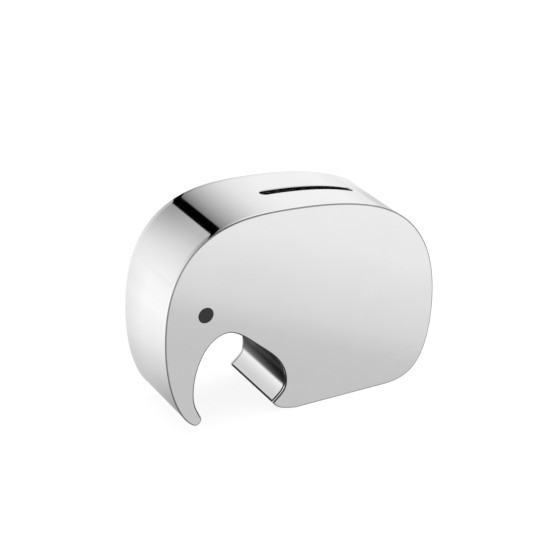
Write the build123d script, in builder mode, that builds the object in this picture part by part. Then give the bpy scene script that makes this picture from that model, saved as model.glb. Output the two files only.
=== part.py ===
from build123d import *
import os

os.makedirs("parts", exist_ok=True)

# An elephant coin bank in polished sheet steel, in millimetres. The head faces -X, the
# rump +X, and the flat base stands on Z = 0. The origin is the middle of the base.

# ---- Shell: two flat side plates on a band that follows the animal's outline ----
DEPTH = 48.0          # over both side plates
SHEET = 1.5           # thickness of the plates and of the band
EDGE_ROUND = 0.6      # polished rounding of each side plate's outer rim
INSET_SPACING = 4.0   # spacing of the points that carry the outline over to its inside
MITRE_REACH = 8.0     # size of the cutters that mitre the two bands at the foot's lip

# ---- Side outline, as (length, height) pairs ----
TIP_CENTRE = (-60.6, 7.6)     # round tip of the trunk
TIP_RADIUS = 2.9
TIP_FRONT_ANGLE = 237.0       # where the tip runs into the trunk's front, in degrees
TIP_BACK_ANGLE = 24.0         # and into its back
FOOT_LIP = (-17.4, 6.3)       # sharp front corner of the foot
FOOT_LIP_ANGLE = 118.0        # direction of the foot's sole as it reaches the lip
NOTCH_LIP_ANGLE = 42.0        # direction of the notch as it leaves the lip
BASE_FRONT = (-3.0, 0.0)      # the flat base runs between these two
BASE_REAR = (47.7, 0.0)
BACK_POINTS = [
    (-69.5, 14.5), (-74.0, 27.6), (-76.4, 53.9), (-71.4, 81.9), (-60.9, 98.2),
    (-46.2, 107.6), (-8.2, 111.4), (26.2, 107.2), (56.3, 94.4), (70.1, 77.3),
    (76.4, 41.7), (74.9, 26.9), (63.0, 3.7),
]
SOLE_POINTS = [(-8.5, 0.9), (-14.2, 2.9)]
ARCH_POINTS = [
    (-10.7, 13.3), (-10.0, 17.2), (-13.3, 28.4), (-24.5, 40.0), (-32.2, 46.7),
    (-42.9, 51.9), (-47.6, 50.8), (-59.0, 36.5), (-61.5, 24.8), (-60.8, 15.5),
]

# ---- Coin slot and eyes ----
SLOT_CENTRE_X = 14.5
SLOT_LENGTH = 53.0            # takes the largest coins and a folded note
SLOT_WIDTH = 5.5
SLOT_FLOOR = 90.0             # the slot's cutter reaches from here to above the back
SLOT_CUT = 30.0
EYE_CENTRE = (-54.3, 64.6)
EYE_RADIUS = 4.1
EYE_FLANGE_RADIUS = 5.4       # the flange behind the plate keeps the eye from falling out
EYE_FLANGE_THICKNESS = 1.0
EYE_CLEARANCE = 0.05

# ---- Locating tabs welded inside the plates, just within the band ----
TAB_WIDTH = 9.0
TAB_THICKNESS = 1.2
TAB_DEPTH = 5.0
TAB_CLEARANCE = 0.15          # between the tabs and the band
TAB_PLACES = [
    (-74.3, 42.0), (-65.0, 91.0), (-12.0, 109.5), (52.0, 95.5), (74.0, 52.0),
    (70.0, 17.0), (-14.5, 32.0), (-44.0, 53.5),
]

# ---- Emptying hatch in the base ----
HATCH_X = 24.5
HATCH_RADIUS = 17.0           # hole in the base, and the recess of the collar behind it
COLLAR_RADIUS = 19.5
COLLAR_BORE = 13.6
LEDGE_BOTTOM = 4.0            # heights above the base's underside, here and below
COLLAR_TOP = 8.5
NOTCH_REACH = 16.7            # the latch bar passes the ledge through two notches
NOTCH_WIDTH = 8.2

PLUG_BOTTOM = 1.2             # the plug stays clear of what the bank stands on
PLUG_FLANGE_RADIUS = 16.7
PLUG_FLANGE_TOP = 3.2
PLUG_CUP_RADIUS = 13.3
PLUG_WELL_RADIUS = 11.3
PLUG_FLOOR_BOTTOM = 6.6
PLUG_TOP = 8.5
PLUG_EDGE = 0.5
PLUG_BORE = 3.06
SEAL_INNER_RADIUS = 13.9
SEAL_OUTER_RADIUS = 16.4
SEAL_TOP = 3.9

# ---- Quarter-turn lock in the plug ----
KNOB_RADIUS = 10.8
KNOB_BOTTOM = 4.7
KNOB_TOP = 6.5
GRIP_LENGTH = 20.0
GRIP_WIDTH = 5.0
GRIP_BOTTOM = 1.6
GRIP_EDGE = 0.8
SHAFT_RADIUS = 3.0
SHAFT_TOP = 8.7
TENON = 4.0                   # square that drives the latch bar
TENON_TOP = 10.4
TENON_CLEARANCE = 0.05
STOP_RADIUS = 8.0             # the stop nub runs in an arc groove and ends the turn
STOP_NUB = 0.8
STOP_TOP = 7.5
STOP_GROOVE_WIDTH = 2.0
STOP_GROOVE_DEPTH = 1.1
TURN = 90.0

BAR_LENGTH = 32.4
BAR_WIDTH = 7.4
BAR_THICKNESS = 1.8
BAR_TOP = SHAFT_TOP + BAR_THICKNESS
WASHER_RADIUS = 3.6
WASHER_THICKNESS = 0.6
SCREW_RADIUS = 1.5
SCREW_HOLE_RADIUS = 1.55
SCREW_BOTTOM = 5.4
SCREW_HEAD_RADIUS = 2.8
SCREW_HEAD_HEIGHT = 1.9
SCREW_SLOT_WIDTH = 0.8
SCREW_SLOT_DEPTH = 0.9


def heading(angle):
    """Unit direction in the outline's plane."""
    return Vector(1, 0).rotate(Axis.Z, angle)


def hatch_plane(height):
    """Horizontal plane centred on the emptying hatch."""
    return Plane(origin=(HATCH_X, 0, height))


def place_inside(curve, place, distance):
    """Point beside an outline curve, at a distance towards the inside."""
    return curve @ place + (curve % place).rotate(Axis.Z, -90) * distance


def draw_inset(curve, distance):
    """Draws the line that follows an outline curve at a distance on its inner side."""
    if distance == 0:
        add(curve)
    elif curve.geom_type == GeomType.LINE:
        Line(place_inside(curve, 0, distance), place_inside(curve, 1, distance))
    elif curve.geom_type == GeomType.CIRCLE:
        ThreePointArc([place_inside(curve, place, distance) for place in (0, 0.5, 1)])
    else:
        count = round(curve.length / INSET_SPACING)
        points = [place_inside(curve, step / count, distance) for step in range(count + 1)]
        Spline(points, tangents=(curve % 0, curve % 1), tangent_scalars=(1, 1))


def strip(curves, near, far):
    """Face between two distances inside a run of outline curves."""
    with BuildSketch() as strip_sketch:
        with BuildLine():
            for curve in curves:
                draw_inset(curve, near)
                draw_inset(curve, far)
            for curve, place in ((curves[0], 0), (curves[-1], 1)):
                Line(place_inside(curve, place, near), place_inside(curve, place, far))
        make_face()
    return strip_sketch.sketch


# ---- The outline, drawn clockwise, shared by the plates, the band and the tabs ----
with BuildLine() as outline:
    trunk_tip = CenterArc(
        TIP_CENTRE, TIP_RADIUS, TIP_BACK_ANGLE,
        TIP_FRONT_ANGLE - TIP_BACK_ANGLE - 360,
    )
    back = Spline(
        trunk_tip @ 1, *BACK_POINTS, BASE_REAR,
        tangents=(trunk_tip % 1, heading(180)), tangent_scalars=(1, 1),
    )
    base = Line(BASE_REAR, BASE_FRONT)
    sole = Spline(
        BASE_FRONT, *SOLE_POINTS, FOOT_LIP,
        tangents=(heading(180), heading(FOOT_LIP_ANGLE)), tangent_scalars=(1, 1),
    )
    arch = Spline(
        FOOT_LIP, *ARCH_POINTS, trunk_tip @ 0,
        tangents=(heading(NOTCH_LIP_ANGLE), trunk_tip % 0), tangent_scalars=(1, 1),
    )

with BuildSketch() as side_profile:
    add(outline.line)
    make_face()

tab_inset = SHEET + TAB_CLEARANCE
with BuildSketch() as tab_profile:
    with Locations(*TAB_PLACES):
        Rectangle(TAB_WIDTH, TAB_WIDTH)
    with BuildSketch(mode=Mode.INTERSECT):
        add(strip([back], tab_inset, tab_inset + TAB_THICKNESS))
        add(strip([arch], tab_inset, tab_inset + TAB_THICKNESS))

# The two bands meet at the foot's lip in a mitre that halves the corner
mitre_angle = (FOOT_LIP_ANGLE + NOTCH_LIP_ANGLE) / 2 - 90
with BuildSketch() as above_mitre:
    with Locations(FOOT_LIP):
        Rectangle(
            MITRE_REACH, MITRE_REACH, rotation=mitre_angle, align=(Align.CENTER, Align.MIN)
        )
with BuildSketch() as below_mitre:
    with Locations(FOOT_LIP):
        Rectangle(
            MITRE_REACH, MITRE_REACH, rotation=mitre_angle, align=(Align.CENTER, Align.MAX)
        )

# ---- Band ----
BAND_HALF = DEPTH / 2 - SHEET
band_plane = Plane.XZ.offset(-BAND_HALF)
with BuildPart() as outer_band:
    with BuildSketch(band_plane):
        add(strip([trunk_tip, back, base, sole], 0, SHEET))
        add(above_mitre.sketch, mode=Mode.SUBTRACT)
    extrude(amount=2 * BAND_HALF)
    with BuildSketch(Plane.XY.offset(SLOT_FLOOR)):
        with Locations((SLOT_CENTRE_X, 0)):
            SlotOverall(SLOT_LENGTH, SLOT_WIDTH)
    extrude(amount=SLOT_CUT, mode=Mode.SUBTRACT)
    with BuildSketch(hatch_plane(-SHEET)):
        Circle(HATCH_RADIUS)
    extrude(amount=3 * SHEET, mode=Mode.SUBTRACT)

with BuildPart() as arch_band:
    with BuildSketch(band_plane):
        add(strip([arch], 0, SHEET))
        add(below_mitre.sketch, mode=Mode.SUBTRACT)
    extrude(amount=2 * BAND_HALF)

# ---- Side plates, eyes and tabs, the same on both sides ----
plate_parts = {}
for side, sign in (("left", 1), ("right", -1)):
    inner_plane = Plane.XZ.offset(sign * BAND_HALF)
    outward = sign * SHEET

    with BuildPart() as side_plate:
        with BuildSketch(inner_plane):
            add(side_profile.sketch)
            with Locations(EYE_CENTRE):
                Circle(EYE_RADIUS + EYE_CLEARANCE, mode=Mode.SUBTRACT)
        extrude(amount=outward)
        outer_face = side_plate.faces().sort_by(Axis.Y)[0 if sign > 0 else -1]
        fillet(outer_face.outer_wire().edges(), radius=EDGE_ROUND)
    plate_parts[side + "_side_plate"] = side_plate

    with BuildPart() as eye:
        with BuildSketch(inner_plane):
            with Locations(EYE_CENTRE):
                Circle(EYE_RADIUS)
        extrude(amount=outward)
        with BuildSketch(inner_plane):
            with Locations(EYE_CENTRE):
                Circle(EYE_FLANGE_RADIUS)
        extrude(amount=-sign * EYE_FLANGE_THICKNESS)
    plate_parts[side + "_eye"] = eye

    with BuildPart() as locating_tabs:
        with BuildSketch(inner_plane):
            add(tab_profile.sketch)
        extrude(amount=-sign * TAB_DEPTH)
    plate_parts[side + "_locating_tabs"] = locating_tabs

# ---- Emptying hatch ----
with BuildPart() as hatch_collar:
    with BuildSketch(hatch_plane(SHEET)):
        Circle(COLLAR_RADIUS)
    extrude(amount=COLLAR_TOP - SHEET)
    with BuildSketch(hatch_plane(SHEET)):
        Circle(HATCH_RADIUS)
    extrude(amount=LEDGE_BOTTOM - SHEET, mode=Mode.SUBTRACT)
    with BuildSketch(hatch_plane(LEDGE_BOTTOM)):
        Circle(COLLAR_BORE)
        SlotOverall(2 * NOTCH_REACH, NOTCH_WIDTH)
    extrude(amount=COLLAR_TOP - LEDGE_BOTTOM, mode=Mode.SUBTRACT)

stop_path = CenterArc((0, 0), STOP_RADIUS, 0, TURN)
with BuildPart() as plug_body:
    with BuildSketch(hatch_plane(PLUG_BOTTOM)):
        Circle(PLUG_FLANGE_RADIUS)
    extrude(amount=PLUG_FLANGE_TOP - PLUG_BOTTOM)
    with BuildSketch(hatch_plane(PLUG_FLANGE_TOP)):
        Circle(PLUG_CUP_RADIUS)
    extrude(amount=PLUG_TOP - PLUG_FLANGE_TOP)
    with BuildSketch(hatch_plane(PLUG_BOTTOM)):
        Circle(PLUG_WELL_RADIUS)
    extrude(amount=PLUG_FLOOR_BOTTOM - PLUG_BOTTOM, mode=Mode.SUBTRACT)
    with BuildSketch(hatch_plane(PLUG_FLOOR_BOTTOM)):
        Circle(PLUG_BORE)
    extrude(amount=PLUG_TOP - PLUG_FLOOR_BOTTOM, mode=Mode.SUBTRACT)
    with BuildSketch(hatch_plane(PLUG_FLOOR_BOTTOM)):
        SlotArc(stop_path, STOP_GROOVE_WIDTH)
    extrude(amount=STOP_GROOVE_DEPTH, mode=Mode.SUBTRACT)
    rims = plug_body.edges().group_by(Axis.Z)[0]
    fillet(rims, radius=PLUG_EDGE)

with BuildPart() as plug_seal:
    with BuildSketch(hatch_plane(PLUG_FLANGE_TOP)):
        Circle(SEAL_OUTER_RADIUS)
        Circle(SEAL_INNER_RADIUS, mode=Mode.SUBTRACT)
    extrude(amount=SEAL_TOP - PLUG_FLANGE_TOP)

# ---- Quarter-turn lock ----
with BuildPart() as turn_knob:
    with BuildSketch(hatch_plane(GRIP_BOTTOM)):
        SlotOverall(GRIP_LENGTH, GRIP_WIDTH)
    extrude(amount=KNOB_BOTTOM - GRIP_BOTTOM)
    grip_rim = turn_knob.edges().group_by(Axis.Z)[0]
    fillet(grip_rim, radius=GRIP_EDGE)
    with BuildSketch(hatch_plane(KNOB_BOTTOM)):
        Circle(KNOB_RADIUS)
    extrude(amount=KNOB_TOP - KNOB_BOTTOM)
    with BuildSketch(hatch_plane(KNOB_TOP)):
        Circle(SHAFT_RADIUS)
    extrude(amount=SHAFT_TOP - KNOB_TOP)
    with BuildSketch(hatch_plane(SHAFT_TOP)):
        Rectangle(TENON, TENON)
    extrude(amount=TENON_TOP - SHAFT_TOP)
    with BuildSketch(hatch_plane(KNOB_TOP)):
        with Locations((STOP_RADIUS, 0)):
            Circle(STOP_NUB)
    extrude(amount=STOP_TOP - KNOB_TOP)
    with BuildSketch(hatch_plane(SCREW_BOTTOM)):
        Circle(SCREW_HOLE_RADIUS)
    extrude(amount=TENON_TOP - SCREW_BOTTOM, mode=Mode.SUBTRACT)

with BuildPart() as latch_bar:
    with BuildSketch(hatch_plane(SHAFT_TOP)):
        SlotOverall(BAR_LENGTH, BAR_WIDTH)
        Rectangle(TENON + 2 * TENON_CLEARANCE, TENON + 2 * TENON_CLEARANCE, mode=Mode.SUBTRACT)
    extrude(amount=BAR_THICKNESS)

with BuildPart() as latch_washer:
    with BuildSketch(hatch_plane(BAR_TOP)):
        Circle(WASHER_RADIUS)
        Circle(SCREW_HOLE_RADIUS, mode=Mode.SUBTRACT)
    extrude(amount=WASHER_THICKNESS)

head_bottom = BAR_TOP + WASHER_THICKNESS
head_top = head_bottom + SCREW_HEAD_HEIGHT
with BuildPart() as latch_screw:
    with BuildSketch(hatch_plane(SCREW_BOTTOM)):
        Circle(SCREW_RADIUS)
    extrude(amount=head_bottom - SCREW_BOTTOM)
    with BuildSketch(hatch_plane(head_bottom)):
        Circle(SCREW_HEAD_RADIUS)
    extrude(amount=SCREW_HEAD_HEIGHT)
    head_rim = latch_screw.edges().group_by(Axis.Z)[-1]
    fillet(head_rim, radius=SCREW_HEAD_HEIGHT / 3)
    with BuildSketch(hatch_plane(head_top - SCREW_SLOT_DEPTH)):
        Rectangle(3 * SCREW_HEAD_RADIUS, SCREW_SLOT_WIDTH)
    extrude(amount=SCREW_SLOT_DEPTH, mode=Mode.SUBTRACT)

# ---- Write each piece ----
pieces = {
    "outer_band": outer_band,
    "arch_band": arch_band,
    **plate_parts,
    "hatch_collar": hatch_collar,
    "plug_body": plug_body,
    "plug_seal": plug_seal,
    "turn_knob": turn_knob,
    "latch_bar": latch_bar,
    "latch_washer": latch_washer,
    "latch_screw": latch_screw,
}
for piece_name, piece in pieces.items():
    piece.part.label = piece_name
    export_step(piece.part, "parts/" + piece_name + ".step")
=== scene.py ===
"""The looks of a polished steel elephant money box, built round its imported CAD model, in metres."""
import math

import bmesh
import bpy
import numpy as np
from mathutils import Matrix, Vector
from mathutils.geometry import delaunay_2d_cdt


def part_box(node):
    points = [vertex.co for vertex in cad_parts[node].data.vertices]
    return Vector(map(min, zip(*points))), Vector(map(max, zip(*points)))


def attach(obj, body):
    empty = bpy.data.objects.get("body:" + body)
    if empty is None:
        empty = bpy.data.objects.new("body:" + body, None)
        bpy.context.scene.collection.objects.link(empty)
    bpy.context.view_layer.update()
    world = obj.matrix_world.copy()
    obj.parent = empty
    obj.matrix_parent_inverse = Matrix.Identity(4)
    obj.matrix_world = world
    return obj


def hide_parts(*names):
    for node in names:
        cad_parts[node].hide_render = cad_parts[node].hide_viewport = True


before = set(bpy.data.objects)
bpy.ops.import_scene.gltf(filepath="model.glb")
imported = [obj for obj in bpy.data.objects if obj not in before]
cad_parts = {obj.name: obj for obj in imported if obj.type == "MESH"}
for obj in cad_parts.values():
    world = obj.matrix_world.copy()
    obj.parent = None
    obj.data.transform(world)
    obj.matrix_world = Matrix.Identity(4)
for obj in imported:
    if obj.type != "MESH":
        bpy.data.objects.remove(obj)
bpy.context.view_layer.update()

MM = 0.001
WELD = 0.001 * MM              # points closer than this are one point

# ---- Sizes read from the CAD pieces ----
plate_low, plate_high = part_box("left_side_plate")
HALF_DEPTH = -plate_low.y      # to the outer face of each side plate
BAND_HALF = -plate_high.y      # to the seam between the band and each plate
SHEET = HALF_DEPTH - BAND_HALF
BACK_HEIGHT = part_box("outer_band")[1].z

# ---- Where the band's openings are looked for ----
BACK_LEVEL = 0.9 * BACK_HEIGHT     # walls above this are on the back
BASE_LEVEL = 2 * SHEET             # and walls below this are on the base
CLEAR_OF_SEAMS = 0.9 * BAND_HALF   # walls further out than this are the band's own edges
UPRIGHT = 0.01                     # largest Z part of an upright wall's normal
LEAST_FACING = math.cos(math.radians(45))    # of the outline's parts that hold an opening

# ---- Polished edges ----
POLISHED_OFF = 0.004 * MM      # taken off all round, to stay inside the CAD model
COVE_WIDTH = 2.2 * MM          # the band and the plates' edges rise in a slight cove to the rims
COVE_TILT = math.radians(7.5)
COVE_FADE = 8.0 * MM           # distance over which the cove fades out at the trunk and the base
RIM_WALL = 0.9 * MM            # width of the plate's edge before its rounding
RIM_POLISH = math.radians(80)  # tilt beyond which the rounded rim shines as the plate does
RIM_RADIUS = 0.55 * MM
RIM_SOFT = 2.4 * MM            # radius of that last, softer part of the rounding
LIP_ROUND = 1.1 * MM           # rounding of the foot's front corner
ARCH_EDGE = 0.8 * MM           # rounding of the arch's edges along the seam
ARCH_SHADOW = 0.4 * MM         # the part of the near plate's edge beside it that carries painted shadow
WALL_OUT = (0, ARCH_SHADOW, RIM_WALL)    # the rows of a plate's edge before its rounding
RIM_POLISHED = {-1: 1 / 6, 1: 1 / 2}     # part of the near and the far rounding that is polished; the rest is brushed and darker with painted shade
OPENING_EDGE = 0.45 * MM       # rounding of the coin slot's and the hatch's rims
EYE_EDGE = 0.25 * MM
EYE_DOME = 0.05 * MM
EYE_SLOPE = 2                  # degrees, of the dome at its edge
EYE_GAP = 0.05 * MM            # between the eye and its hole

# ---- Fineness of the meshes ----
LONGEST_STEP = 0.6 * MM
LARGEST_TURN = math.radians(2.0)
FACE_SPACING = 4.0 * MM        # of the inner points of a flat face
COVE_STEPS = 5
ROUND_STEPS = 6
RIM_STEPS = 12                 # round a side plate's rim
SOFT_STEPS = 4                 # round its softer last part
FLAT_ROWS = 6                  # rows of faces from the middle of the band to its cove
CAP_STEPS = 12                 # per quarter of a round opening
RING_STEPS = 72                # round the eyes

# RIM is the brushed rims' finish, darker with painted shade; SHADOW is painted shadow.
POLISHED, INSIDE, RIM, SHADOW = 0, 1, 2, 3    # the finishes of the sheet metal


# ======== Meshes whose corners carry exact normals ========

def unit(vectors):
    """The vectors' directions."""
    return vectors / np.linalg.norm(vectors, axis=-1, keepdims=True)


class Shell:
    """A closed mesh under construction. Every corner of a face keeps its own normal."""

    def __init__(self):
        self.mesh = bmesh.new()
        self.normal = self.mesh.loops.layers.float_vector.new("corner_normal")

    def face(self, corners, normals, finish):
        """Adds one face, turned to agree with its normals."""
        a, b = corners[2].co - corners[0].co, corners[-1].co - corners[1].co
        if a.cross(b).dot(Vector(sum(normals))) < 0:
            corners, normals = corners[::-1], normals[::-1]
        face = self.mesh.faces.new(corners)
        face.smooth = True
        face.material_index = finish
        for loop, normal in zip(face.loops, normals):
            loop[self.normal] = Vector(normal)

    def grid(self, points, normals, finish=POLISHED):
        """Adds the quads between neighbouring rows and columns, of one finish or one per column."""
        points, normals = np.asarray(points, float), np.broadcast_to(normals, np.shape(points))
        finish = np.broadcast_to(finish, len(points[0]))
        verts = [[self.mesh.verts.new(point) for point in row] for row in points]
        for row in range(len(points) - 1):
            for column in range(len(points[0]) - 1):
                ring = [(row, column), (row, column + 1), (row + 1, column + 1), (row + 1, column)]
                corners = [verts[i][j] for i, j in ring]
                self.face(corners, [normals[i, j] for i, j in ring], int(finish[column]))

    def flat(self, rings, level, normal, finish=POLISHED):
        """Fills the region of the plane y = level inside the first ring and outside the rest."""
        rings = [without_repeats(ring) for ring in rings]
        inner = face_points(rings)
        points, edges = list(map(Vector, inner)), []
        for ring in rings:
            first, count = len(points), len(ring)
            points += map(Vector, ring)
            edges += [(first + i, first + (i + 1) % count) for i in range(count)]
        places, _, faces, *_ = delaunay_2d_cdt(points, edges, [], 0, WELD)
        middles = np.array([sum((places[i] for i in face), Vector((0, 0))) / 3 for face in faces])
        wanted = inside_rings(middles, rings)
        verts = [self.mesh.verts.new((place.x, level, place.y)) for place in places]
        for face, keep in zip(faces, wanted):
            if keep:
                self.face([verts[i] for i in face], [np.array(normal, float)] * 3, finish)

    def finished(self, name, materials):
        """Joins what touches and makes the object."""
        bmesh.ops.remove_doubles(self.mesh, verts=self.mesh.verts, dist=WELD)
        loose = [vert for vert in self.mesh.verts if not vert.link_faces]
        bmesh.ops.delete(self.mesh, geom=loose, context="VERTS")
        normals = [loop[self.normal][:] for face in self.mesh.faces for loop in face.loops]
        mesh = bpy.data.meshes.new(name)
        self.mesh.to_mesh(mesh)
        self.mesh.free()
        mesh.normals_split_custom_set(normals)
        mesh.attributes.remove(mesh.attributes["corner_normal"])
        for material in materials:
            mesh.materials.append(material)
        piece = bpy.data.objects.new(name, mesh)
        bpy.context.scene.collection.objects.link(piece)
        return piece


def without_repeats(ring):
    """The ring's points, less each that is where the one before it is."""
    steps = np.linalg.norm(ring - np.roll(ring, 1, axis=0), axis=1)
    return ring[steps > WELD]


def inside_rings(points, rings):
    """Whether each point is inside an odd number of the rings."""
    crossings = np.zeros(len(points), int)
    for ring in rings:
        after = np.roll(ring, -1, axis=0)
        for (x0, z0), (x1, z1) in zip(ring, after):
            between = (z0 > points[:, 1]) != (z1 > points[:, 1])
            if between.any():
                at = x0 + (points[:, 1] - z0) * (x1 - x0) / (z1 - z0)
                crossings += between & (points[:, 0] < at)
    return crossings % 2 == 1


def face_points(rings):
    """Evenly spread points inside a flat face, clear of its rings."""
    low, high = rings[0].min(axis=0), rings[0].max(axis=0)
    xs = np.arange(low[0], high[0], FACE_SPACING)
    zs = np.arange(low[1], high[1], FACE_SPACING)
    points = np.array([(x, z) for x in xs for z in zs])
    points = points[inside_rings(points, rings)]
    edge = np.concatenate(rings)
    gaps = np.linalg.norm(points[:, None] - edge[None], axis=2).min(axis=1)
    return points[gaps > FACE_SPACING / 2]


# ======== The animal's outline, read from the near side plate ========

def flat_rings(node, level):
    """Rings of (x, z) points round the flat face of a CAD node at y = level, shortest first."""
    mesh = bmesh.new()
    mesh.from_mesh(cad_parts[node].data)
    bmesh.ops.remove_doubles(mesh, verts=mesh.verts, dist=WELD)
    flat = {f for f in mesh.faces if all(abs(v.co.y - level) < WELD for v in f.verts)}
    after = {}
    for face in flat:
        for loop in face.loops:
            if not any(other in flat and other is not face for other in loop.edge.link_faces):
                after[loop.vert] = loop.link_loop_next.vert
    rings = []
    while after:
        vert, ring = next(iter(after)), []
        while vert in after:
            ring.append((vert.co.x, vert.co.z))
            vert = after.pop(vert)
        rings.append(np.array(ring))
    mesh.free()
    return sorted(rings, key=len)


def clockwise(ring):
    """The ring in the order that goes up the trunk and over the back."""
    x, z = ring.T
    area = np.sum(x * np.roll(z, -1) - z * np.roll(x, -1))
    return ring[::-1] if area > 0 else ring


def turns(ring):
    """Cosine of the turn at each point of a ring."""
    before = unit(ring - np.roll(ring, 1, axis=0))
    return np.sum(before * np.roll(before, -1, axis=0), axis=1)


def knot_slopes(points, gaps, start, end):
    """Slopes of the cubic curve of continuous curvature through points, with any given end slope."""
    chords = np.diff(points, axis=0) / gaps[:, None]
    last = len(points) - 1
    system, right = np.eye(last + 1), np.zeros_like(points)
    for i in range(1, last):
        before, after = gaps[i - 1], gaps[i]
        system[i, i - 1:i + 2] = after, 2 * (before + after), before
        right[i] = 3 * (after * chords[i - 1] + before * chords[i])
    for row, beside, slope, chord in ((0, 1, start, chords[0]), (last, last - 1, end, chords[-1])):
        if slope is None:
            system[row, beside] = 1
            right[row] = 2 * chord
        else:
            right[row] = slope
    return np.linalg.solve(system, right)


def smooth_run(points, start=None, end=None):
    """Closely spaced points, and the direction at each, on the smooth curve through points."""
    gaps = np.linalg.norm(np.diff(points, axis=0), axis=1)
    slopes = knot_slopes(points, gaps, start, end)
    places, directions = [], []
    for i, gap in enumerate(gaps):
        turn = math.acos(min(1, unit(slopes[i]) @ unit(slopes[i + 1])))
        steps = math.ceil(max(gap / LONGEST_STEP, turn / LARGEST_TURN))
        for u in np.arange(steps) / steps:
            p, q = points[i], points[i + 1]
            m, n = slopes[i] * gap, slopes[i + 1] * gap
            bend, rest = 3 * (q - p) - 2 * m - n, m + n - 2 * (q - p)
            places.append(p + u * (m + u * (bend + u * rest)))
            directions.append(m + u * (2 * bend + u * 3 * rest))
    places.append(points[-1])
    directions.append(slopes[-1])
    return np.array(places), unit(np.array(directions))


def straight_run(start, end):
    """Closely spaced points between two places, without the places themselves."""
    steps = math.ceil(np.linalg.norm(end - start) / LONGEST_STEP)
    return start + np.outer(np.arange(1, steps) / steps, end - start)


def left_of(directions):
    """Directions turned a quarter to the left, which is outwards on the clockwise outline."""
    return np.stack([-directions[:, 1], directions[:, 0]], axis=1)


class Outline:
    """The side outline as a closed run of places and outward directions, from the foot's lip."""

    def __init__(self):
        self.eye_ring, ring = flat_rings("left_side_plate", -BAND_HALF)
        ring = clockwise(ring)
        ring = np.roll(ring, -int(np.argmin(turns(ring))), axis=0)
        closed = np.vstack([ring, ring[:1]])
        base = int(np.argmax(np.linalg.norm(np.diff(closed, axis=0), axis=1)))
        along_base = unit(closed[base + 1] - closed[base])
        upper, upper_ways = smooth_run(closed[:base + 1], end=along_base)
        sole, sole_ways = smooth_run(closed[base + 1:], start=along_base)
        base_run = straight_run(closed[base], closed[base + 1])
        first_half, second_half = self.round_lip(ring[0], sole_ways[-1:], upper_ways[:1])
        upper_kept = self.clear_of_lip(upper)
        sole_kept = self.clear_of_lip(sole)
        self.outward = np.vstack([
            second_half, left_of(upper_ways[upper_kept]),
            left_of(np.tile(along_base, (len(base_run), 1))), left_of(sole_ways[sole_kept]),
            first_half,
        ])
        self.places = np.vstack([
            self.lip_arc(second_half), upper[upper_kept], base_run, sole[sole_kept],
            self.lip_arc(first_half),
        ]) - POLISHED_OFF * self.outward
        steps = np.linalg.norm(np.diff(self.places, axis=0), axis=1)
        self.run = np.concatenate([[0], np.cumsum(steps)])
        self.half_lip = self.run[len(second_half) - 1]
        self.tip = self.run[self.nearest(joint_of_bands(ring))]
        self.base = self.run[self.nearest(closed[base])]

    def round_lip(self, corner, way_before, way_after):
        """Outward directions round the lip, up to its middle and from there on."""
        self.lip = corner
        out_before, out_after = left_of(way_before)[0], left_of(way_after)[0]
        self.lip_out = unit(out_after + out_before)
        self.lip_stretch = 1 / (self.lip_out @ out_after)
        parts = np.linspace(0, 1, ROUND_STEPS + 1)[:, None]
        first = unit(out_before * (1 - parts) + self.lip_out * parts)
        second = unit(self.lip_out * (1 - parts) + out_after * parts)
        return first, second

    def clear_of_lip(self, places):
        """Whether each place is beyond the lip's rounding."""
        trim = LIP_ROUND * math.sqrt(self.lip_stretch ** 2 - 1)
        return np.linalg.norm(places - self.lip, axis=1) > trim

    def lip_arc(self, outward):
        """Places round the lip at which the outline faces outward."""
        centre = self.lip - self.lip_out * LIP_ROUND * self.lip_stretch
        return centre + LIP_ROUND * outward

    def nearest(self, place):
        return int(np.argmin(np.linalg.norm(self.places - place, axis=1)))

    def at(self, run):
        """Places and outward directions at distances along the outline."""
        place = np.stack([np.interp(run, self.run, part) for part in self.places.T], axis=-1)
        outward = np.stack([np.interp(run, self.run, part) for part in self.outward.T], axis=-1)
        return place, unit(outward)

    def inset(self, run, depth):
        """Places at depths under the outline, with the corner kept sharp under the lip."""
        place, outward = self.at(run)
        depth = np.broadcast_to(depth, np.shape(run))[..., None]
        inner = place - depth * outward
        corner = self.lip - self.lip_out * depth * self.lip_stretch
        across = np.array([-self.lip_out[1], self.lip_out[0]])
        side = np.where(run < self.run[-1] / 2, -1, 1)
        near = np.linalg.norm(inner - corner, axis=-1) < 2 * SHEET
        crossed = near & (side * ((inner - self.lip) @ across) < 0)
        return np.where(crossed[..., None], corner, inner)

    def cove(self, run):
        """How much of the cove there is: all of it from the trunk over the back to the base."""
        from_end = np.minimum(run - self.tip, self.base - run)
        part = np.clip(from_end / COVE_FADE, 0, 1)
        return part * part * (3 - 2 * part)

    def run_at(self, xs, upper):
        """Distances along the outline at which it passes given x, on the back or on the base."""
        facing = self.outward[:, 1] if upper else -self.outward[:, 1]
        chosen = (facing > LEAST_FACING) & (self.run > self.tip)
        order = np.argsort(self.places[chosen, 0])
        return np.interp(xs, self.places[chosen, 0][order], self.run[chosen][order])


def node_places(node):
    """The (x, z) places of a CAD node's points."""
    return np.array([(vert.co.x, vert.co.z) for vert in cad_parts[node].data.vertices])


def joint_of_bands(ring):
    """The outline's point at the trunk's tip where the outer band gives way to the arch's."""
    touches = []
    for node in ("outer_band", "arch_band"):
        places = node_places(node)
        touches.append([np.linalg.norm(places - point, axis=1).min() for point in ring[1:]])
    return ring[1 + int(np.argmin(np.max(touches, axis=0)))]


outline = Outline()


# ======== Sheet metal ========

def in_space(places, y):
    """Points in space from (x, z) places and depths y."""
    y = np.broadcast_to(y, places.shape[:-1])
    return np.stack([places[..., 0], y, places[..., 1]], axis=-1)


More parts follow.
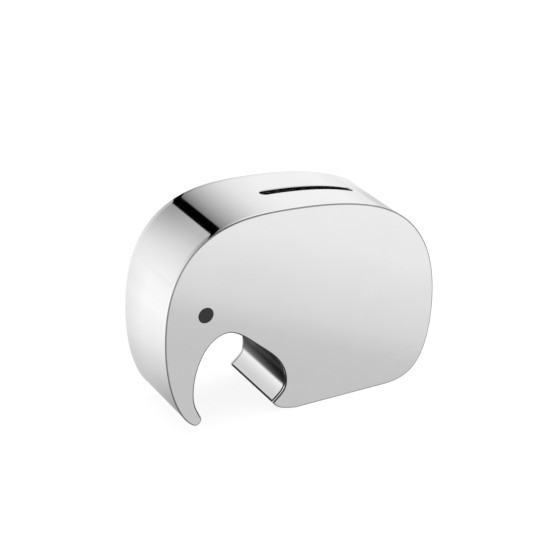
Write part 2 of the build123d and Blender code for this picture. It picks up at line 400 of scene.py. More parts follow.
class Opening:
    """A round-ended hole through the band, read from its upright walls in the CAD piece."""

    def __init__(self, upper):
        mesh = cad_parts["outer_band"].data
        low, high = (BACK_LEVEL, BACK_HEIGHT) if upper else (0, BASE_LEVEL)
        walls = [
            vertex for face in mesh.polygons for vertex in face.vertices
            if abs(face.normal.z) < UPRIGHT and abs(face.center.y) < CLEAR_OF_SEAMS
            and low < face.center.z < high
        ]
        points = np.array([mesh.vertices[vertex].co for vertex in walls])
        self.upper = upper
        self.radius = points[:, 1].max()
        self.centre = (points[:, 0].min() + points[:, 0].max()) / 2
        self.half_straight = (points[:, 0].max() - points[:, 0].min()) / 2 - self.radius
        self.xs, self.ys, self.away = self.half_rim()

    def half_rim(self):
        """The rim from its low x end to its high one, and the way out of the hole at each point."""
        quarter = np.linspace(0, math.pi / 2, CAP_STEPS + 1)
        steps = max(1, math.ceil(2 * self.half_straight / LONGEST_STEP))
        straight = np.linspace(-1, 1, steps + 1)[1:-1] * self.half_straight
        left, right = math.pi - quarter, quarter[::-1]
        angles = np.concatenate([left, np.full(len(straight), math.pi / 2), right])
        middles = np.concatenate([
            np.full(len(left), -self.half_straight), straight,
            np.full(len(right), self.half_straight),
        ])
        away = np.stack([np.cos(angles), np.sin(angles)], axis=1)
        return self.centre + middles + self.radius * away[:, 0], self.radius * away[:, 1], away

    def columns(self, wider):
        """Distances along the outline and half widths of the hole, made wider all round."""
        run = outline.run_at(self.xs + wider * self.away[:, 0], self.upper)
        return run, self.ys + wider * self.away[:, 1]

    def row(self, side, wider, depth, angle):
        """Places and normals of half the rim at a depth under the band's face."""
        run, half_width = self.columns(wider)
        place, outward = outline.at(run)
        if depth < SHEET:
            depth = depth + cove_row(run, 0)[0][:, None]
        along = in_space(outward[:, ::-1] * (1, -1), 0) * (1 if self.upper else -1)
        away = self.away[:, :1] * along + self.away[:, 1:] * np.array((0, side, 0))
        normals = math.cos(angle) * in_space(outward, 0) - math.sin(angle) * away
        return in_space(place - depth * outward, side * half_width), normals

    def wall(self, shell):
        """The rounded rim and the wall of the hole."""
        levels = [
            (OPENING_EDGE * (1 - math.sin(angle)), OPENING_EDGE * (1 - math.cos(angle)), angle)
            for angle in np.linspace(0, math.pi / 2, ROUND_STEPS + 1)
        ]
        levels.append((0, SHEET, math.pi / 2))
        for side in (-1, 1):
            points, normals = zip(*[self.row(side, *level) for level in levels])
            shell.grid(points[:-1], normals[:-1], POLISHED)
            # The hole's wall takes the rims' finish, darker with painted shade.
            shell.grid(points[-2:], normals[-2:], RIM)


def band_columns(first, last, openings):
    """Distances along the outline of a band's columns, outside and inside, and its holes' halves."""
    run = outline.run[(outline.run >= first) & (outline.run <= last)]
    outer, inner = run, run
    outer_half, inner_half = np.zeros_like(run), np.zeros_like(run)
    for opening in openings:
        wide_run, wide = opening.columns(OPENING_EDGE)
        true_run, true = opening.columns(0)
        low, high = wide_run.min() - LONGEST_STEP / 4, wide_run.max() + LONGEST_STEP / 4
        clear = (outer < low) | (outer > high)
        outer = np.concatenate([outer[clear], wide_run])
        inner = np.concatenate([inner[clear], true_run])
        outer_half = np.concatenate([outer_half[clear], wide])
        inner_half = np.concatenate([inner_half[clear], true])
    order = np.argsort(outer, kind="stable")
    return outer[order], inner[order], outer_half[order], inner_half[order]


def cove_row(run, into):
    """Drop and tilt of the coves' surface at a distance into them, towards the rim."""
    tilt = COVE_TILT * outline.cove(run)
    crest = RIM_RADIUS * (1 - np.cos(tilt))
    slope = np.tan(tilt) * into / COVE_WIDTH
    return crest + (np.tan(tilt) * COVE_WIDTH - slope * into) / 2, -np.arctan(slope)


def coved_edge(run):
    """Depth y, drop and tilt of the outer band's rows where it rises to the seam."""
    into = np.linspace(0, COVE_WIDTH - RIM_WALL, COVE_STEPS + 1)[:, None]
    drop, tilt = cove_row(run, into)
    return BAND_HALF + RIM_WALL - COVE_WIDTH + into + 0 * drop, drop, tilt


def rounded_edge(run):
    """Depth y, drop and tilt of the arch band's rows round its edge."""
    angle = np.linspace(0, math.pi / 2, ROUND_STEPS + 1)[:, None] + 0 * run
    y = BAND_HALF - ARCH_EDGE * (1 - np.sin(angle))
    return y, ARCH_EDGE * (1 - np.cos(angle)), angle


def lip_finish(run):
    """Painted shadow on the foot's lip, and the polish elsewhere, for each column of a band."""
    from_lip = np.minimum(run, outline.run[-1] - run)
    return np.where(from_lip < outline.half_lip, SHADOW, POLISHED)


def band_half(shell, side, columns, edge, edge_finish):
    """Half a strip of sheet, from the middle of the band, or the rim of a hole, to its edge."""
    outer, inner, outer_half, inner_half = columns
    place, outward = outline.at(outer)
    under = outline.inset(inner, SHEET)
    under_out = outline.at(inner)[1]
    edge_y, edge_drop, edge_tilt = edge(outer)
    parts = np.linspace(0, 1, FLAT_ROWS + 1)[:-1, None]
    outer_y = np.vstack([outer_half + parts * (edge_y[0] - outer_half), edge_y])
    inner_y = np.vstack([inner_half + parts * (edge_y[0] - inner_half), edge_y])
    drop = np.vstack([edge_drop[0] + 0 * parts, edge_drop])[..., None]
    tilt = np.vstack([0 * parts * outer, edge_tilt])[..., None]
    top = in_space(place - drop * outward, side * outer_y)
    bottom = in_space(np.broadcast_to(under, top.shape[:-1] + (2,)), side * inner_y)
    sideways = np.array((0, side, 0))
    normals = np.cos(tilt) * in_space(outward, 0) + np.sin(tilt) * sideways
    shell.grid(top[:FLAT_ROWS + 1], normals[:FLAT_ROWS + 1], lip_finish(outer))
    shell.grid(top[FLAT_ROWS:], normals[FLAT_ROWS:], edge_finish)
    shell.grid(bottom, -in_space(under_out, 0) + 0 * bottom, INSIDE)
    shell.grid([top[-1], bottom[-1]], sideways, INSIDE)
    for end in (0, -1):
        along = np.cross(sideways, in_space(outward[end], 0)) * (side if end else -side)
        shell.grid([top[:, end], bottom[:, end]], along, INSIDE)


def make_band(first, last, edge, near_finish, openings=()):
    """A strip of sheet along the outline, from one distance along it to another."""
    shell = Shell()
    columns = band_columns(first, last, openings)
    band_half(shell, -1, columns, edge, near_finish)
    band_half(shell, 1, columns, edge, POLISHED)
    for opening in openings:
        opening.wall(shell)
    return shell


def rim_rows(run):
    """Depth y, drop and tilt of a side plate's rim, from the seam to its flat outer face."""
    rows = []
    for out in WALL_OUT:
        drop, tilt = cove_row(run, COVE_WIDTH - RIM_WALL + out)
        rows.append((BAND_HALF + out + 0 * drop, drop, tilt))
    tilt = rows[-1][2]
    shoulder = HALF_DEPTH - RIM_SOFT * (1 - math.sin(RIM_POLISH))
    reach = (shoulder - BAND_HALF - RIM_WALL) / (math.sin(RIM_POLISH) - np.sin(tilt))
    for part in np.linspace(0, 1, RIM_STEPS + 1)[1:]:
        angle = tilt + part * (RIM_POLISH - tilt)
        y = shoulder - reach * (math.sin(RIM_POLISH) - np.sin(angle))
        rows.append((y, RIM_RADIUS * (1 - np.cos(angle)), angle))
    turned_in = rows[-1][1]
    for angle in np.linspace(RIM_POLISH, math.pi / 2, SOFT_STEPS + 1)[1:]:
        y = HALF_DEPTH - RIM_SOFT * (1 - math.sin(angle)) + 0 * turned_in
        drop = turned_in + RIM_SOFT * (math.cos(RIM_POLISH) - math.cos(angle))
        rows.append((y, drop, angle + 0 * drop))
    return rows


def plate_rim(shell, side):
    """The rounded rim of a side plate, and the places of its rows from the seam outwards."""
    run = np.append(outline.run, 0)
    outward = in_space(outline.at(run)[1], 0)
    points, normals = [], []
    for y, drop, tilt in rim_rows(run):
        points.append(in_space(outline.inset(run, drop), side * y))
        tilt = tilt[:, None]
        normals.append(np.cos(tilt) * outward + np.sin(tilt) * np.array((0, side, 0)))
    # Round the arch the near plate's edge and brushed rim carry painted shadow; elsewhere the brushed
    # rim is darker with painted shade.
    in_arch = (run < outline.tip) & (side < 0)
    brushed = len(WALL_OUT) - 1 + round(RIM_STEPS * RIM_POLISHED[side])
    shine = len(WALL_OUT) - 1 + RIM_STEPS + SOFT_STEPS // 2
    shell.grid(points[:2], normals[:2], np.where(in_arch, SHADOW, POLISHED))
    shell.grid(points[1:brushed + 1], normals[1:brushed + 1], POLISHED)
    shell.grid(points[brushed:shine + 1], normals[brushed:shine + 1], np.where(in_arch, SHADOW, RIM))
    shell.grid(points[shine:], normals[shine:], POLISHED)
    return points


def make_side_plate(side):
    """A flat plate of the animal's outline with a rounded rim and a hole for the eye."""
    shell = Shell()
    rows = plate_rim(shell, side)
    centre, radius = eye_hole()
    angles = np.linspace(0, 2 * math.pi, RING_STEPS, endpoint=False)
    ring = centre + radius * np.stack([np.cos(angles), np.sin(angles)], axis=1)
    face, back = rows[-1][:-1, ::2], rows[0][:-1, ::2]
    sideways = np.array((0, side, 0))
    shell.flat([face, ring], side * HALF_DEPTH, sideways, POLISHED)
    shell.flat([back, ring], side * BAND_HALF, -sideways, INSIDE)
    rim = np.vstack([ring, ring[:1]])
    hole = [in_space(rim, side * BAND_HALF), in_space(rim, side * HALF_DEPTH)]
    shell.grid(hole, in_space(unit(centre - rim), 0), INSIDE)
    return shell


def eye_hole():
    """Centre and radius of the hole that the eye fills."""
    ring = outline.eye_ring
    centre = (ring.min(axis=0) + ring.max(axis=0)) / 2
    return centre, np.linalg.norm(ring - centre, axis=1).mean()


def make_eye(side):
    """A turned disc, flush with the plate, on a wider flange behind it."""
    low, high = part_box("left_eye")
    centre = np.array([(low.x + high.x) / 2, (low.z + high.z) / 2])
    flange = (high.x - low.x) / 2
    back = -high.y
    radius = eye_hole()[1] - EYE_GAP
    shell = Shell()
    shoulder = HALF_DEPTH - EYE_DOME
    profile = [(0, HALF_DEPTH, 0), (radius - EYE_EDGE, shoulder, EYE_SLOPE)]
    for angle in np.linspace(0, math.pi / 2, ROUND_STEPS + 1):
        out = radius - EYE_EDGE * (1 - math.sin(angle))
        depth = shoulder - EYE_EDGE * (1 - math.cos(angle))
        profile.append((out, depth, math.degrees(angle)))
    turned(shell, centre, side, profile)
    turned(shell, centre, side, [(radius, profile[-1][1], 90), (radius, BAND_HALF, 90)])
    turned(shell, centre, side, [(radius, BAND_HALF, 0), (flange, BAND_HALF, 0)])
    turned(shell, centre, side, [(flange, BAND_HALF, 90), (flange, back, 90)])
    turned(shell, centre, side, [(flange, back, 180), (0, back, 180)])
    return shell


def turned(shell, centre, side, profile):
    """Turns (radius, depth, slope in degrees) rows about the eye's axis."""
    angles = np.linspace(0, 2 * math.pi, RING_STEPS + 1)
    around = np.stack([np.cos(angles), np.sin(angles)], axis=1)
    points, normals = [], []
    for radius, depth, slope in profile:
        points.append(in_space(centre + radius * around, side * depth))
        lean = math.radians(slope)
        normal = math.sin(lean) * in_space(around, 0) + math.cos(lean) * np.array((0, side, 0))
        normals.append(normal)
    shell.grid(points, normals)


# ======== Materials ========

# The real steel's finish shows only through its reflections. Where the head, the arch, the rims
# and the seams reflect less than the studio would give, shade is painted into the steel's grey.
ARCH_SHADE_AND_BRUSH_FROM = 14.5 * MM    # height up to which the arch is polished and free of painted shade
ARCH_SHADE_AND_BRUSH_FULL = 20.0 * MM   # and from which it is only brushed, and dark with painted shade
ARCH_SHADE_ACROSS = (-12 * MM, 20 * MM)     # y over which the painted shade on the brushed part grows lighter
ARCH_GRAZING_SHADE = 0.60          # painted shade on the arch where it turns out of sight
FAR_SEAM_SHADE_ACROSS = (2 * MM, 21 * MM)      # y over which painted shade grows on the outer band's head, towards its far seam
FAR_SEAM_SHADE_DOWN = (88 * MM, 74 * MM)       # heights over which it grows
FAR_SEAM_SHADE_BACK = (-40 * MM, -55 * MM)     # and x
RIM_GRAZING_SHADE = 0.10           # painted shade on the brushed rims where they turn out of sight


def new_material(name):
    material = bpy.data.materials.new(name)
    material.use_nodes = True
    tree = material.node_tree
    return material, tree, tree.nodes["Principled BSDF"]


def add_node(tree, kind, inputs=None, **settings):
    """A node with its settings, and with its inputs set to values or linked to sockets."""
    node = tree.nodes.new(kind)
    for name, value in settings.items():
        setattr(node, name, value)
    for name, value in (inputs or {}).items():
        if isinstance(value, bpy.types.NodeSocket):
            tree.links.new(value, node.inputs[name])
        else:
            node.inputs[name].default_value = value
    return node


def own_place(tree):
    """The object's own coordinates, in metres."""
    return add_node(tree, "ShaderNodeTexCoord").outputs["Object"]


def noise(tree, scale, detail=3.0, stretch=(1, 1, 1), roughness=0.5):
    """Noise in the object's own coordinates, stretched along its axes."""
    mapping = add_node(tree, "ShaderNodeMapping", {"Vector": own_place(tree), "Scale": stretch})
    inputs = {
        "Vector": mapping.outputs["Vector"], "Scale": scale, "Detail": detail,
        "Roughness": roughness,
    }
    return add_node(tree, "ShaderNodeTexNoise", inputs).outputs["Fac"]


def between(tree, factor, low, high, start=0.0, end=1.0):
    """A value that goes from low to high as factor goes from start to end."""
    inputs = {"Value": factor, "From Min": start, "From Max": end, "To Min": low, "To Max": high}
    return add_node(tree, "ShaderNodeMapRange", inputs).outputs["Result"]


def axis_parts(tree, vector):
    """The X, Y and Z parts of a vector."""
    return add_node(tree, "ShaderNodeSeparateXYZ", {0: vector}).outputs


def math_node(tree, operation, *values):
    """The result of one operation on values or sockets."""
    return add_node(tree, "ShaderNodeMath", dict(enumerate(values)), operation=operation).outputs[0]


def product(tree, *factors):
    """The product of two values or more."""
    total, *others = factors
    for factor in others:
        total = math_node(tree, "MULTIPLY", total, factor)
    return total


def mixed(tree, factor, first, second):
    """A value between two, by a factor."""
    inputs = {0: factor, 2: first, 3: second}
    return add_node(tree, "ShaderNodeMix", inputs, data_type="FLOAT").outputs[0]


def grey(level):
    """An opaque grey."""
    return level, level, level, 1


def blended(tree, factor, first, second):
    """A colour between two others, by a factor."""
    inputs = {"Factor": factor, 6: first, 7: second}
    return add_node(tree, "ShaderNodeMix", inputs, data_type="RGBA").outputs[2]


def shade(tree, factor, dark, light):
    """A grey between two levels, by a factor."""
    return blended(tree, factor, grey(dark), grey(light))


def bump(tree, height, strength, distance, under=None):
    """A normal that follows a fine relief, on top of another one where it is given."""
    inputs = {"Height": height, "Strength": strength, "Distance": distance}
    if under is not None:
        inputs["Normal"] = under
    return add_node(tree, "ShaderNodeBump", inputs).outputs["Normal"]


def dress(tree, surface, colour, roughness, normal):
    """Gives a surface its colour, its roughness and its fine relief."""
    tree.links.new(colour, surface.inputs["Base Color"])
    tree.links.new(roughness, surface.inputs["Roughness"])
    tree.links.new(normal, surface.inputs["Normal"])


def polish(tree, surface, tint, roughness):
    """The mirror polish: hairline scratches over faint clouding, and a trace of waviness."""
    surface.inputs["Metallic"].default_value = 1.0
    hairline = noise(tree, 900, detail=2, stretch=(1, 6, 14))
    scratches = between(tree, hairline, 0, 0.10, 0.60, 0.80)
    waves = bump(tree, noise(tree, 45, detail=1), 0.15, 0.02 * MM)
    relief = bump(tree, hairline, 0.05, 0.01 * MM, waves)
    dress(tree, surface, tint, math_node(tree, "ADD", scratches, roughness), relief)


def cloud_noise(tree):
    """Faint patches on every polished face."""
    return noise(tree, 55, detail=4)


def mirror_tint(tree, cloud):
    """The grey of polished steel in those patches."""
    return shade(tree, cloud, 0.560, 0.592)


def mirror_roughness(tree, cloud):
    """And its roughness."""
    return between(tree, cloud, 0.030, 0.070, 0.3, 0.7)


def polished_steel():
    """Steel polished to a mirror, with faint clouding in patches."""
    material, tree, surface = new_material("polished_steel_mirror")
    cloud = cloud_noise(tree)
    polish(tree, surface, mirror_tint(tree, cloud), mirror_roughness(tree, cloud))
    return material


def band_steel():
    """Polished steel, with painted shade growing towards the far seam of the head."""
    material, tree, surface = new_material("band_steel_mirror_painted_shade")
    cloud = cloud_noise(tree)
    place = axis_parts(tree, own_place(tree))
    # Painted shade: the grey darkens towards the head's far seam, lower down and further forward.
    across = between(tree, place["Y"], 0, 1, *FAR_SEAM_SHADE_ACROSS)
    down = between(tree, place["Z"], 0, 1, *FAR_SEAM_SHADE_DOWN)
    back = between(tree, place["X"], 0, 1, *FAR_SEAM_SHADE_BACK)
    far_seam_shade = product(tree, across, down, back)
    far_seam_tint = shade(tree, cloud, 0.475, 0.505)
    tint = blended(tree, far_seam_shade, mirror_tint(tree, cloud), far_seam_tint)
    polish(tree, surface, tint, mirror_roughness(tree, cloud))
    return material


def arch_steel():
    """Polished steel, only brushed high in the arch, where wheels can't reach, and dark there with
    painted shade that lightens towards the far side.
    """
    material, tree, surface = new_material("arch_steel_polished_painted_shade")
    cloud = cloud_noise(tree)
    brushed = noise(tree, 260, detail=4, stretch=(1, 0.2, 3))
    place = axis_parts(tree, own_place(tree))
    # Painted shade: up from the polished part the arch turns dark, less so towards the far side; the
    # same height brings the brushed roughness.
    reach = between(tree, place["Z"], 0, 1, ARCH_SHADE_AND_BRUSH_FROM, ARCH_SHADE_AND_BRUSH_FULL)
    depth = between(tree, place["Y"], 0, 1, *ARCH_SHADE_ACROSS)
    bright = shade(tree, cloud, 0.570, 0.610)
    dark = shade(tree, brushed, 0.030, 0.055)
    lighter_shade = shade(tree, brushed, 0.165, 0.205)
    tint = blended(tree, reach, bright, blended(tree, depth, dark, lighter_shade))
    # Painted shade where the arch turns out of sight.
    surface.inputs["Specular Tint"].default_value = grey(ARCH_GRAZING_SHADE)
    grain = between(tree, brushed, 0.16, 0.30)
    polish(tree, surface, tint, mixed(tree, reach, mirror_roughness(tree, cloud), grain))
    return material


def inside_steel():
    """The sheet as it came from the mill, on the faces that nobody polishes."""
    material, tree, surface = new_material("inside_steel_satin")
    grain = noise(tree, 420, detail=5, stretch=(1, 18, 1))
    surface.inputs["Metallic"].default_value = 0.6
    tint = shade(tree, grain, 0.66, 0.76)
    roughness = between(tree, grain, 0.30, 0.46)
    dress(tree, surface, tint, roughness, bump(tree, grain, 0.25, 0.02 * MM))
    return material


def rim_steel():
    """The rims where the polishing wheel only brushed the cut edge: softer, and darker with painted
    shade.
    """
    material, tree, surface = new_material("rim_steel_brushed_painted_shade")
    brushed = noise(tree, 650, detail=4)
    # Painted shade: a grey far darker than polished steel's, and a dark tint where the rims turn out
    # of sight.
    tint = shade(tree, brushed, 0.205, 0.255)
    surface.inputs["Metallic"].default_value = 1.0
    surface.inputs["Specular Tint"].default_value = grey(RIM_GRAZING_SHADE)
    roughness = between(tree, brushed, 0.22, 0.34)
    dress(tree, surface, tint, roughness, bump(tree, brushed, 0.15, 0.01 * MM))
    return material


def seam_shadow():
    """Painted shadow, near black, on edges: the foot's lip, and the near plate's and the arch's seam.
    """
    material, tree, surface = new_material("seam_steel_painted_shadow")
    shadow_mottle = noise(tree, 500, detail=4)
    surface.inputs["Specular IOR Level"].default_value = 0.25
    # Painted shadow: a near-black grey.
    tint = shade(tree, shadow_mottle, 0.008, 0.030)
    roughness = between(tree, shadow_mottle, 0.35, 0.55)
    dress(tree, surface, tint, roughness, bump(tree, shadow_mottle, 0.2, 0.01 * MM))
    return material


def black_enamel():
    """Satin black stove enamel with a faint orange peel."""
    material, tree, surface = new_material("black_enamel_satin")
    peel = noise(tree, 1400, detail=2)
    surface.inputs["Specular IOR Level"].default_value = 0.27
    tint = shade(tree, peel, 0.009, 0.015)
    roughness = between(tree, noise(tree, 300), 0.30, 0.42)
    dress(tree, surface, tint, roughness, bump(tree, peel, 0.25, 0.02 * MM))
    return material


def black_plastic():
    """Moulded plastic with a fine spark-eroded texture, a little shinier where it has worn."""
    material, tree, surface = new_material("black_plastic_moulded")
    grain = noise(tree, 2600, detail=4, roughness=0.6)
    wear = noise(tree, 120, detail=3)
    tint = shade(tree, wear, 0.020, 0.034)
    roughness = between(tree, wear, 0.38, 0.56, 0.3, 0.7)
    dress(tree, surface, tint, roughness, bump(tree, grain, 0.5, 0.05 * MM))
    return material


def seal_rubber():
    """Soft rubber, dull, with a bloom of dust."""
    material, tree, surface = new_material("seal_rubber_dull")
    bloom = noise(tree, 500, detail=5)
    tint = shade(tree, bloom, 0.018, 0.049)
    roughness = between(tree, bloom, 0.70, 0.88)
    dress(tree, surface, tint, roughness, bump(tree, noise(tree, 3000), 0.4, 0.03 * MM))
    return material


def bare_steel():
    """Pressed and turned steel fittings with tool marks."""
    material, tree, surface = new_material("bare_steel_worked")
    marks = noise(tree, 700, detail=5, stretch=(1, 1, 8))
    surface.inputs["Metallic"].default_value = 1.0
    tint = shade(tree, marks, 0.42, 0.57)
    roughness = between(tree, marks, 0.22, 0.40)
    dress(tree, surface, tint, roughness, bump(tree, marks, 0.3, 0.02 * MM))
    return material


# ======== Pieces ========

def place_piece(shell, name, node, materials):
    """Finishes a piece of the bank's body that stands for a CAD node."""
    piece = shell.finished(name, materials)
    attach(piece, "bank")
    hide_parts(node)


sheet_finishes = (polished_steel(), inside_steel(), rim_steel(), seam_shadow())
openings = [Opening(upper=True), Opening(upper=False)]
outer_shell = make_band(outline.tip, outline.run[-1], coved_edge, POLISHED, openings)
band_finishes = (band_steel(), *sheet_finishes[1:])
place_piece(outer_shell, "outer_band_polished", "outer_band", band_finishes)
# The arch's near edge carries painted shadow.
arch_shell = make_band(0, outline.tip, rounded_edge, SHADOW)
arch_finishes = (arch_steel(), *sheet_finishes[1:])
place_piece(arch_shell, "arch_band_polished", "arch_band", arch_finishes)

enamel = black_enamel()
for side_name, side_sign in (("left", -1), ("right", 1)):
    plate_node, eye_node = side_name + "_side_plate", side_name + "_eye"
    plate_shell = make_side_plate(side_sign)
    place_piece(plate_shell, plate_node + "_polished", plate_node, sheet_finishes)
    place_piece(make_eye(side_sign), eye_node + "_enamelled", eye_node, (enamel,))

cad_finishes = {
    black_plastic(): ("plug_body", "turn_knob"),
    seal_rubber(): ("plug_seal",),
    bare_steel(): ("hatch_collar", "latch_bar", "latch_washer", "latch_screw"),
    sheet_finishes[INSIDE]: ("left_locating_tabs", "right_locating_tabs"),
}
for finish, node_names in cad_finishes.items():
    for node_name in node_names:
        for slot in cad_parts[node_name].material_slots:
            slot.material = finish


# ======== Studio ========

FLOOR_REACH = 6.0
FLOOR_DROP = 0.05 * MM         # keeps the floor clear of the foot's flat base
FLOOR_GLOW = 0.86              # an even light table under thin paper
FLOOR_SHADE = 0.16
LAMP_SIZE = 1.2
LAMP_POWER = 12                # W
LAMP_PLACE = (0, -0.2, 1.2)
VIEW_AZIMUTH = math.radians(-28.15)    # from straight in front of the near side
VIEW_ELEVATION = math.radians(25.5)
VIEW_CENTRE = (-0.019134, -0.024, 0.081163)
VIEW_DISTANCE = 0.94824
VIEW_SENSOR, VIEW_LENS = 36, 129.33    # mm
SKY_STRENGTH = 1.7
SKY_WALL = 0.85                # the even walls at the two ends of the light tunnel
WALL_BLEND = (0.955, 0.990)    # Y part of the directions between which they begin
# The brightness of the tunnel and of the light table is fitted to one view of the real bank's
# shading, and is no record of the room it stood in. Here: degrees up from +X in the plane of the
# outline, and brightness on the near and the far side.
SKY_STOPS = (
    (0, 0.69, 0.68), (14, 0.80, 0.76), (35, 0.83, 0.82), (45, 0.75, 0.755), (73, 0.37, 0.35),
    (84.8, 0.20, 0.14), (85.4, 0, 0), (98.7, 0, 0), (99.3, 0.49, 0.29), (110, 0.505, 0.345),
    (135, 0.685, 0.55), (158, 0.80, 0.74), (180, 0.89, 0.83),
)
SKY_SIDES = (0.822, 0.831)     # Y part of the directions that look to its near and its far side
HORIZON_BLEND = (0.50, 2.0)    # distances over which the floor takes on the sky's level
HORIZON_LEVELS = (-0.6, 0.87), (0.9, 0.68)    # x, and that level, on the two sides
TROUGH_ACROSS = (0.8, -0.6)    # the way across the trough of shade that runs past the object
TROUGH_REACH = 0.4             # to its two sides
# Place across the trough, and brightness there.
TROUGH_STOPS = (
    (-0.40, 0.92), (-0.24, 0.925), (-0.16, 0.84), (-0.13, 0.765), (-0.09, 0.56), (-0.05, 0.26),
    (-0.042, 0.30), (-0.03, 0.555), (0.05, 0.555), (0.08, 0.58), (0.11, 0.685), (0.20, 0.82),
    (0.40, 0.92),
)
# Painted shade on the light table, that the rump reflects.
RUMP_SHADE_SLOPE = 1.25              # of its slanted edge
RUMP_SHADE_EDGE = (-0.040, 0.000)    # places across that edge
RUMP_SHADE_LEVELS = (0.47, 0.66)     # and brightness there
RUMP_SHADE_FROM_X, RUMP_SHADE_FROM_Y = (0.10, 0.18), (0.05, 0.15)    # places over which the card begins
# Painted shadow under the belly: a dim sheet that only the steel's reflections see.
SHADOW_SHEET_LOW, SHADOW_SHEET_HIGH = (-0.045, -0.024), (-0.018, 0.068)
SHADOW_SHEET_ENDS = (0.005, 0.060)     # y near its two ends
SHADOW_SHEET_LEVELS = (0.01, 0.24)     # and brightness there


def set_stops(ramp, stops, reach):
    """Gives a colour ramp its stops: (place, red, green) or (place, grey)."""
    elements = ramp.color_ramp.elements
    while len(elements) < len(stops):
        elements.new(0.5)
    for element, (place, *levels) in zip(elements, stops):
        element.position = place / reach
        element.color = (levels[0], levels[-1], levels[0], 1)


def make_sky():
    """A light tunnel along Y, with a narrow dark gap overhead between its two soft boxes."""
    world = bpy.data.worlds.new("studio")
    bpy.context.scene.world = world
    world.use_nodes = True
    tree = world.node_tree
    parts = axis_parts(tree, add_node(tree, "ShaderNodeTexCoord").outputs["Generated"])
    angle = math_node(tree, "ARCTAN2", math_node(tree, "ABSOLUTE", parts["Z"]), parts["X"])
    ramp = add_node(tree, "ShaderNodeValToRGB", {0: between(tree, angle, 0, 1, 0, math.pi)})
    set_stops(ramp, SKY_STOPS, 180)
    sides = add_node(tree, "ShaderNodeSeparateColor", {0: ramp.outputs["Color"]}).outputs
    far = between(tree, parts["Y"], 0, 1, *SKY_SIDES)
    tunnel = mixed(tree, far, sides["Red"], sides["Green"])
    off_axis = math_node(tree, "ABSOLUTE", parts["Y"])
    level = mixed(tree, between(tree, off_axis, 0, 1, *WALL_BLEND), tunnel, SKY_WALL)
    background = tree.nodes["Background"]
    background.inputs["Color"].default_value = (1, 1, 1, 1)
    tree.links.new(product(tree, level, SKY_STRENGTH), background.inputs["Strength"])


def make_plane(name, low, high, height, material):
    """A flat rectangle of the studio."""
    mesh = bpy.data.meshes.new(name)
    (x0, y0), (x1, y1) = low, high
    corners = [(x0, y0, height), (x1, y0, height), (x1, y1, height), (x0, y1, height)]
    mesh.from_pydata(corners, [], [(0, 1, 2, 3)])
    mesh.materials.append(material)
    plane = bpy.data.objects.new(name, mesh)
    bpy.context.scene.collection.objects.link(plane)
    return plane


def see_through_from_below(tree, shader):
    """Leaves out the back of a studio plane, so that the base shows in views from below."""
    back = add_node(tree, "ShaderNodeNewGeometry").outputs["Backfacing"]
    clear = add_node(tree, "ShaderNodeBsdfTransparent").outputs[0]
    mix = add_node(tree, "ShaderNodeMixShader", {0: back, 1: shader, 2: clear})
    tree.links.new(mix.outputs[0], tree.nodes["Material Output"].inputs["Surface"])


def make_floor():
    """The pale paper that the camera sees, lit from above and glowing from below."""
    material, tree, surface = new_material("floor_paper")
    fibre = noise(tree, 40, detail=3)
    paper = shade(tree, fibre, 0.97 * FLOOR_SHADE, FLOOR_SHADE)
    tree.links.new(paper, surface.inputs["Base Color"])
    surface.inputs["Roughness"].default_value = 0.9
    surface.inputs["Specular IOR Level"].default_value = 0.0
    surface.inputs["Emission Color"].default_value = (1, 1, 1, 1)
    surface.inputs["Emission Strength"].default_value = FLOOR_GLOW
    see_through_from_below(tree, surface.outputs[0])
    reach = FLOOR_REACH
    floor = make_plane("floor", (-reach, -reach), (reach, reach), -FLOOR_DROP, material)
    floor.visible_glossy = False


def glow_material(name, level_of):
    """A light that shines up only, with a brightness that level_of makes from the place."""
    material, tree, _ = new_material(name)
    level = level_of(tree, axis_parts(tree, own_place(tree)))
    strength = product(tree, level, SKY_STRENGTH)
    glow = add_node(tree, "ShaderNodeEmission", {"Strength": strength})
    see_through_from_below(tree, glow.outputs[0])
    return material


def trough_shade(tree, parts):
    """The brightness across the trough of shade."""
    sides = [product(tree, parts[i], TROUGH_ACROSS[i]) for i in (0, 1)]
    across = math_node(tree, "ADD", *sides)
    part = between(tree, across, 0, 1, -TROUGH_REACH, TROUGH_REACH)
    ramp = add_node(tree, "ShaderNodeValToRGB", {0: part})
    set_stops(ramp, [((at / TROUGH_REACH + 1) / 2, level) for at, level in TROUGH_STOPS], 1)
    return ramp.outputs["Color"]


def rump_shade(tree, parts):
    """The brightness of the painted shade that the rump reflects, and how much of it there is."""
    # Painted shade: the light table dims across a slanted edge.
    beside = math_node(tree, "ADD", parts["Y"], product(tree, parts["X"], -RUMP_SHADE_SLOPE))
    level = between(tree, beside, *RUMP_SHADE_LEVELS, *RUMP_SHADE_EDGE)
    along_x = between(tree, parts["X"], 0, 1, *RUMP_SHADE_FROM_X)
    along_y = between(tree, parts["Y"], 0, 1, *RUMP_SHADE_FROM_Y)
    return level, product(tree, along_x, along_y)


def horizon_shade(tree, parts):
    """The sky's level beyond the floor, and how much of it the floor takes on."""
    (left, left_level), (right, right_level) = HORIZON_LEVELS
    level = between(tree, parts["X"], left_level, right_level, left, right)
    squares = [product(tree, parts[i], parts[i]) for i in (0, 1)]
    distance = math_node(tree, "SQRT", math_node(tree, "ADD", *squares))
    return level, between(tree, distance, 0, 1, *HORIZON_BLEND)


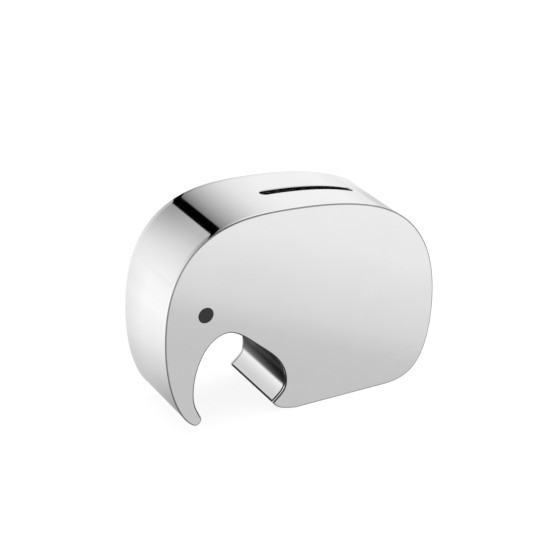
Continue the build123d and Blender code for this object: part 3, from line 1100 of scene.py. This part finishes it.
def light_table_level(tree, parts):
    """The reflected floor's brightness."""
    rump_level, in_rump_shade = rump_shade(tree, parts)
    horizon, far_off = horizon_shade(tree, parts)
    near = mixed(tree, in_rump_shade, trough_shade(tree, parts), rump_level)
    return mixed(tree, far_off, near, horizon)


def shadow_sheet_level(tree, parts):
    """The painted shadow's brightness, which grows away from the near side."""
    # Painted shadow: dim, and darkest at the near side.
    return between(tree, parts["Y"], *SHADOW_SHEET_LEVELS, *SHADOW_SHEET_ENDS)


def make_reflected_floor():
    """What the polished steel reflects of the floor: a light table, and a sheet of painted shadow on
    it.
    """
    reach = FLOOR_REACH
    table = glow_material("light_table", light_table_level)
    shadow_sheet = glow_material("painted_shadow_sheet", shadow_sheet_level)
    planes = [
        make_plane("light_table", (-reach, -reach), (reach, reach), -2 * FLOOR_DROP, table),
        # The sheet of painted shadow lies on the light table.
        make_plane("shadow_sheet", SHADOW_SHEET_LOW, SHADOW_SHEET_HIGH, -FLOOR_DROP, shadow_sheet),
    ]
    for plane in planes:
        for rays in ("camera", "diffuse", "shadow", "transmission"):
            setattr(plane, "visible_" + rays, False)


def make_lamp():
    """A large soft light overhead that lights the floor."""
    data = bpy.data.lights.new("overhead_light", "AREA")
    data.shape = "RECTANGLE"
    data.size, data.size_y = LAMP_SIZE, LAMP_SIZE
    data.energy = LAMP_POWER
    lamp = bpy.data.objects.new("overhead_light", data)
    lamp.location = LAMP_PLACE
    lamp.visible_glossy = False
    lamp.visible_camera = False
    bpy.context.scene.collection.objects.link(lamp)


def make_camera():
    """A long lens above and to the front left of the object."""
    data = bpy.data.cameras.new("camera")
    data.sensor_width = VIEW_SENSOR
    data.lens = VIEW_LENS
    camera = bpy.data.objects.new("camera", data)
    level = math.cos(VIEW_ELEVATION)
    back = Vector((
        math.sin(VIEW_AZIMUTH) * level, -math.cos(VIEW_AZIMUTH) * level, math.sin(VIEW_ELEVATION),
    ))
    camera.location = Vector(VIEW_CENTRE) + VIEW_DISTANCE * back
    camera.rotation_euler = back.to_track_quat("Z", "Y").to_euler()
    bpy.context.scene.collection.objects.link(camera)
    bpy.context.scene.camera = camera


make_sky()
make_floor()
make_reflected_floor()
make_lamp()
make_camera()
bpy.context.scene.view_settings.view_transform = "Standard"
